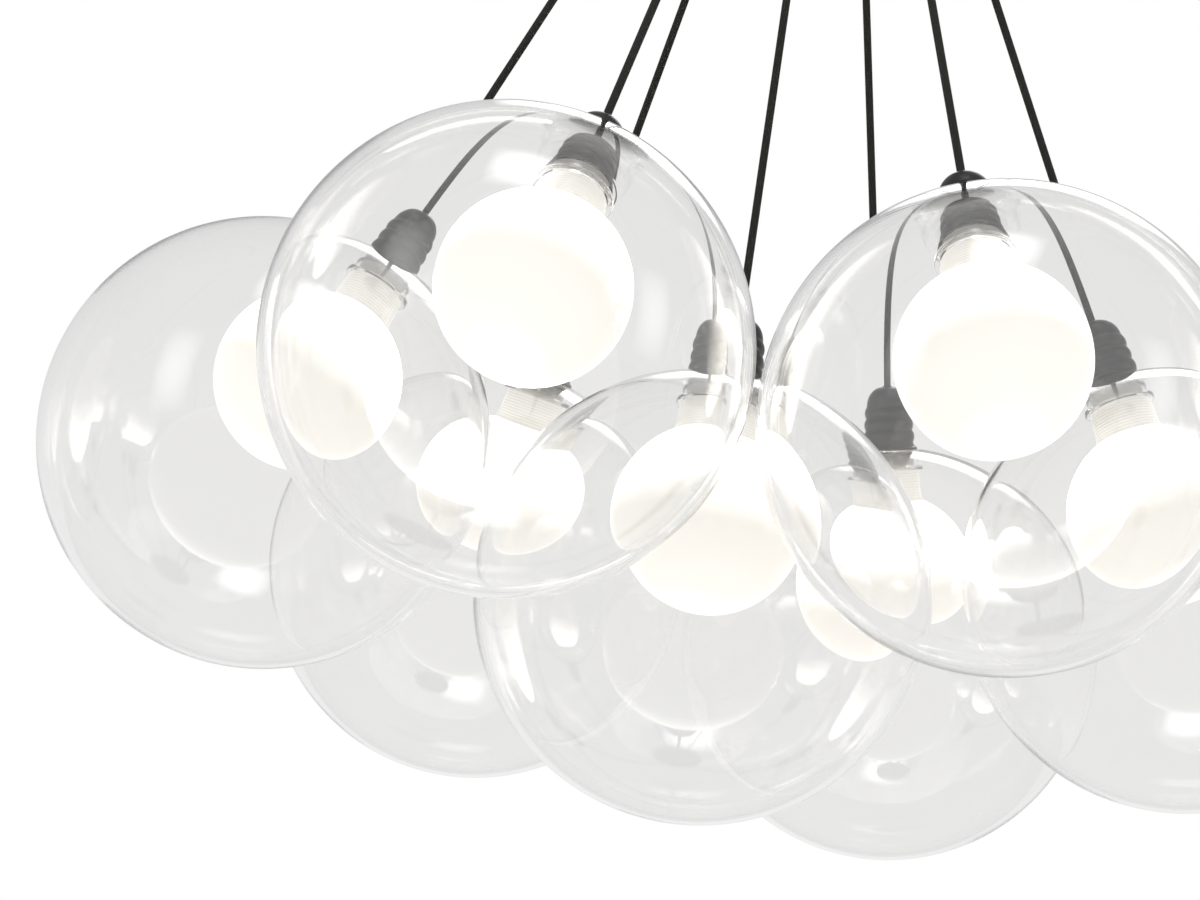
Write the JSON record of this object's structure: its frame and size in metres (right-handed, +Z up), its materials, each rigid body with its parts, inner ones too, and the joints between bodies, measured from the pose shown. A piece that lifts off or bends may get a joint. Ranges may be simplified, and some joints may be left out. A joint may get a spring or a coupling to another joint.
{
  "type": "cluster pendant light",
  "caption": "Ceiling cluster pendant: clear glass globes, each with a lit opal inner ball and a ribbed black holder, hang on taut black cords from a round canopy.",
  "frame": {"origin": "middle of the ceiling plane, on top of the mounting bracket", "axes": "+Z up towards the ceiling, +X to the right and +Y away from a person who faces the two front globes"},
  "size_m": [0.92, 0.8343, 0.8442],
  "materials": {
    "clear_glass": "clear blown glass, polished",
    "opal_glass": "opal glass, satin, lit from inside",
    "black_rubber": "satin black moulded rubber",
    "black_textile": "braided black textile",
    "black_plastic": "matte moulded",
    "lamp_white": "white diffuser",
    "black_metal": "matte black powder coat",
    "steel": "zinc plated",
    "white_plastic": "moulded",
    "brass": "plain"
  },
  "bodies": {
    "canopy": {"canopy_cup": "black_metal", "mounting_bracket": "steel", "canopy_studs": "steel", "canopy_nuts": "black_metal", "cord_glands": "black_plastic", "gland_locknuts": "black_plastic", "cord_tails": "black_textile", "terminal_block": "white_plastic", "block_screws": "brass", "earth_screw": "brass"},
    "swing_front_left": {"cord_front_left": "black_textile"},
    "pendant_front_left": {"globe_front_left": "clear_glass", "inner_ball_front_left": "opal_glass", "holder_cap_front_left": "black_rubber", "lamp_socket_front_left": "white_plastic", "cord_grip_front_left": "black_plastic", "led_lamp_front_left": "lamp_white"},
    "swing_front_right": {"cord_front_right": "black_textile"},
    "pendant_front_right": {"globe_front_right": "clear_glass", "inner_ball_front_right": "opal_glass", "holder_cap_front_right": "black_rubber", "lamp_socket_front_right": "white_plastic", "cord_grip_front_right": "black_plastic", "led_lamp_front_right": "lamp_white"},
    "swing_left": {"cord_left": "black_textile"},
    "pendant_left": {"globe_left": "clear_glass", "inner_ball_left": "opal_glass", "holder_cap_left": "black_rubber", "lamp_socket_left": "white_plastic", "cord_grip_left": "black_plastic", "led_lamp_left": "lamp_white"},
    "swing_back_left": {"cord_back_left": "black_textile"},
    "pendant_back_left": {"globe_back_left": "clear_glass", "inner_ball_back_left": "opal_glass", "holder_cap_back_left": "black_rubber", "lamp_socket_back_left": "white_plastic", "cord_grip_back_left": "black_plastic", "led_lamp_back_left": "lamp_white"},
    "swing_back_right": {"cord_back_right": "black_textile"},
    "pendant_back_right": {"globe_back_right": "clear_glass", "inner_ball_back_right": "opal_glass", "holder_cap_back_right": "black_rubber", "lamp_socket_back_right": "white_plastic", "cord_grip_back_right": "black_plastic", "led_lamp_back_right": "lamp_white"},
    "swing_right": {"cord_right": "black_textile"},
    "pendant_right": {"globe_right": "clear_glass", "inner_ball_right": "opal_glass", "holder_cap_right": "black_rubber", "lamp_socket_right": "white_plastic", "cord_grip_right": "black_plastic", "led_lamp_right": "lamp_white"},
    "swing_centre": {"cord_centre": "black_textile"},
    "pendant_centre": {"globe_centre": "clear_glass", "inner_ball_centre": "opal_glass", "holder_cap_centre": "black_rubber", "lamp_socket_centre": "white_plastic", "cord_grip_centre": "black_plastic", "led_lamp_centre": "lamp_white"}
  },
  "joints": [
    {"name": "swing_front_left", "type": "hinge", "parent": "canopy", "child": "swing_front_left", "pos_m": [-0.03, -0.05196, -0.03789], "axis": [-0.866, 0.5, 0], "range_deg": [0, 30]},
    {"name": "twist_front_left", "type": "hinge", "parent": "swing_front_left", "child": "pendant_front_left", "pos_m": [-0.11752, -0.20355, -0.47268], "axis": [0.1867, 0.3234, 0.9276], "range_deg": [-180, 180], "stiffness_Nm_per_rad": 0.005},
    {"name": "swing_front_right", "type": "hinge", "parent": "canopy", "child": "swing_front_right", "pos_m": [0.03, -0.05196, -0.03789], "axis": [-0.866, -0.5, 0], "range_deg": [0, 30]},
    {"name": "twist_front_right", "type": "hinge", "parent": "swing_front_right", "child": "pendant_front_right", "pos_m": [0.11944, -0.20688, -0.47327], "axis": [-0.19, 0.3291, 0.925], "range_deg": [-180, 180], "stiffness_Nm_per_rad": 0.005},
    {"name": "swing_left", "type": "hinge", "parent": "canopy", "child": "swing_left", "pos_m": [-0.06, 0, -0.03789], "axis": [0, 1, 0], "range_deg": [0, 30]},
    {"name": "twist_left", "type": "hinge", "parent": "swing_left", "child": "pendant_left", "pos_m": [-0.23504, 0, -0.47268], "axis": [0.3735, 0, 0.9276], "range_deg": [-180, 180], "stiffness_Nm_per_rad": 0.005},
    {"name": "swing_back_left", "type": "hinge", "parent": "canopy", "child": "swing_back_left", "pos_m": [-0.03, 0.05196, -0.03789], "axis": [0.866, 0.5, 0], "range_deg": [0, 30]},
    {"name": "twist_back_left", "type": "hinge", "parent": "swing_back_left", "child": "pendant_back_left", "pos_m": [-0.117, 0.20266, -0.46231], "axis": [0.1897, -0.3285, 0.9253], "range_deg": [-180, 180], "stiffness_Nm_per_rad": 0.005},
    {"name": "swing_back_right", "type": "hinge", "parent": "canopy", "child": "swing_back_right", "pos_m": [0.03, 0.05196, -0.03789], "axis": [0.866, -0.5, 0], "range_deg": [0, 30]},
    {"name": "twist_back_right", "type": "hinge", "parent": "swing_back_right", "child": "pendant_back_right", "pos_m": [0.12131, 0.21012, -0.4728], "axis": [-0.1936, -0.3353, 0.922], "range_deg": [-180, 180], "stiffness_Nm_per_rad": 0.005},
    {"name": "swing_right", "type": "hinge", "parent": "canopy", "child": "swing_right", "pos_m": [0.06, 0, -0.03789], "axis": [0, -1, 0], "range_deg": [0, 30]},
    {"name": "twist_right", "type": "hinge", "parent": "swing_right", "child": "pendant_right", "pos_m": [0.24866, 0, -0.4724], "axis": [-0.3983, 0, 0.9173], "range_deg": [-180, 180], "stiffness_Nm_per_rad": 0.005},
    {"name": "swing_centre", "type": "hinge", "parent": "canopy", "child": "swing_centre", "pos_m": [0, 0, -0.03789], "axis": [1, 0, 0], "range_deg": [-0.4, 0.4]},
    {"name": "twist_centre", "type": "hinge", "parent": "swing_centre", "child": "pendant_centre", "pos_m": [0, 0, -0.51759], "axis": [0, 0, 1], "range_deg": [-180, 180], "stiffness_Nm_per_rad": 0.005}
  ]
}
